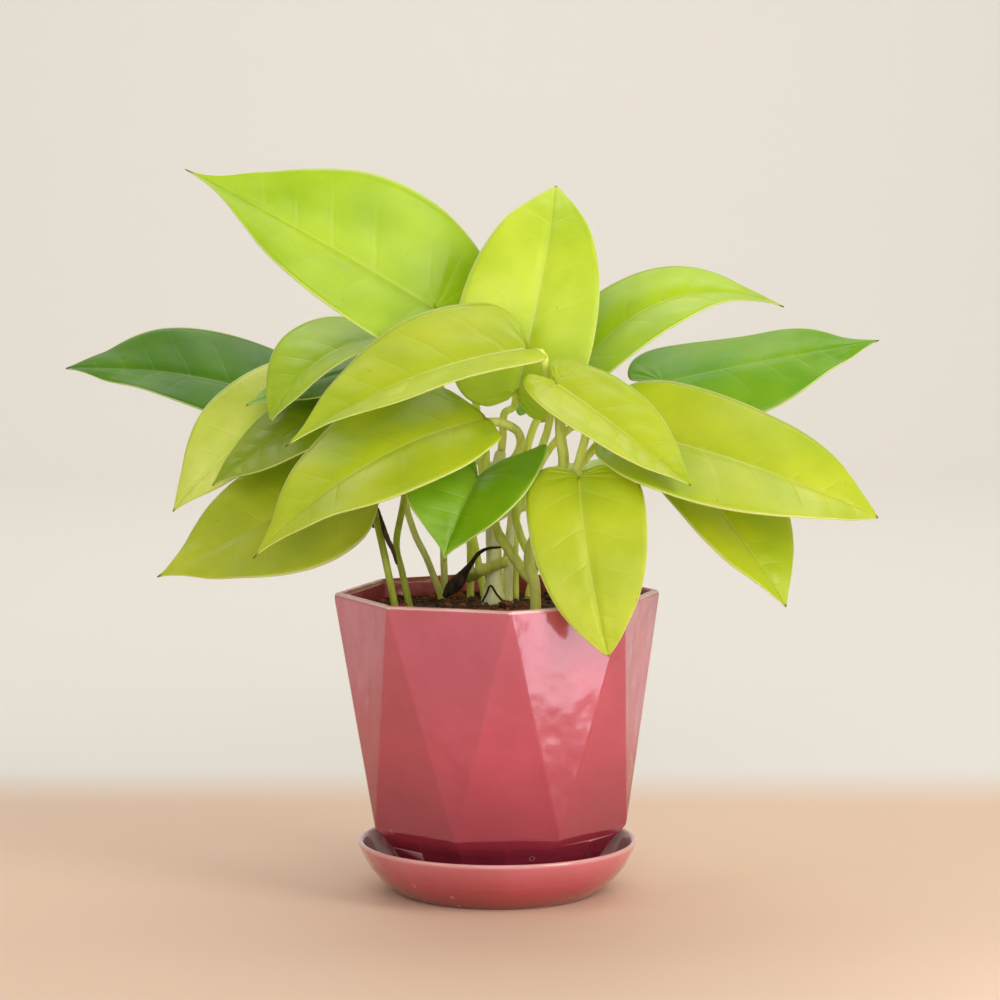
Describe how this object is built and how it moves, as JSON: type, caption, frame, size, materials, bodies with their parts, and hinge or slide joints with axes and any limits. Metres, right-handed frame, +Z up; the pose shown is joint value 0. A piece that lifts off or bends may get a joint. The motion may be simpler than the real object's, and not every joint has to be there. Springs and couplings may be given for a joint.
{
  "type": "potted pothos plant",
  "caption": "Young neon-green pothos with pointed heart-shaped leaves in a faceted rose glazed ceramic pot on a round saucer.",
  "frame": {"origin": "centre of the saucer's flat underside", "axes": "+Z up, -Y towards the front, +X to the right seen from the front"},
  "size_m": [0.308, 0.1648, 0.2659],
  "materials": {
    "glaze": "gloss",
    "coco_peat": "matt",
    "leaf_neon": "satin",
    "leaf_pale": "satin",
    "leaf_olive": "satin",
    "leaf_green": "satin",
    "leaf_deep_green": "satin",
    "stalk_green": "satin",
    "vine_green": "satin",
    "dry_husk": "matt",
    "root_black": "matt"
  },
  "bodies": {
    "root": {"saucer": "glaze", "pot": "glaze", "soil": "coco_peat", "leaf_top_left": "leaf_neon", "stalk_top_left": "stalk_green", "leaf_far_left": "leaf_deep_green", "stalk_far_left": "stalk_green", "leaf_top_centre": "leaf_neon", "stalk_top_centre": "stalk_green", "leaf_top_right": "leaf_neon", "stalk_top_right": "stalk_green", "leaf_middle_left": "leaf_neon", "stalk_middle_left": "stalk_green", "leaf_front_left": "leaf_neon", "stalk_front_left": "stalk_green", "leaf_lowest_left": "leaf_olive", "stalk_lowest_left": "stalk_green", "leaf_pale_left": "leaf_pale", "stalk_pale_left": "stalk_green", "leaf_inner_left": "leaf_neon", "stalk_inner_left": "stalk_green", "leaf_tucked_left": "leaf_green", "stalk_tucked_left": "stalk_green", "leaf_olive_left": "leaf_olive", "stalk_olive_left": "stalk_green", "leaf_front_hanging": "leaf_olive", "stalk_front_hanging": "stalk_green", "leaf_front_right": "leaf_neon", "stalk_front_right": "stalk_green", "leaf_long_right": "leaf_olive", "stalk_long_right": "stalk_green", "leaf_low_right": "leaf_olive", "stalk_low_right": "stalk_green", "leaf_far_right": "leaf_green", "stalk_far_right": "stalk_green", "leaf_small_centre": "leaf_deep_green", "stalk_small_centre": "stalk_green", "leaf_curled_centre": "leaf_green", "stalk_curled_centre": "stalk_green", "leaf_rear_left": "leaf_deep_green", "stalk_rear_left": "stalk_green", "leaf_rear_right": "leaf_deep_green", "stalk_rear_right": "stalk_green", "leaf_rear_low": "leaf_deep_green", "stalk_rear_low": "stalk_green", "vine_front": "vine_green", "vine_sheathed": "vine_green", "vine_pale": "vine_green", "vine_white": "vine_green", "dry_sheath": "dry_husk", "dry_strip_long": "dry_husk", "dry_strip_short": "dry_husk", "root_wire_tall": "root_black", "root_wire_curved": "root_black"}
  },
  "joints": []
}
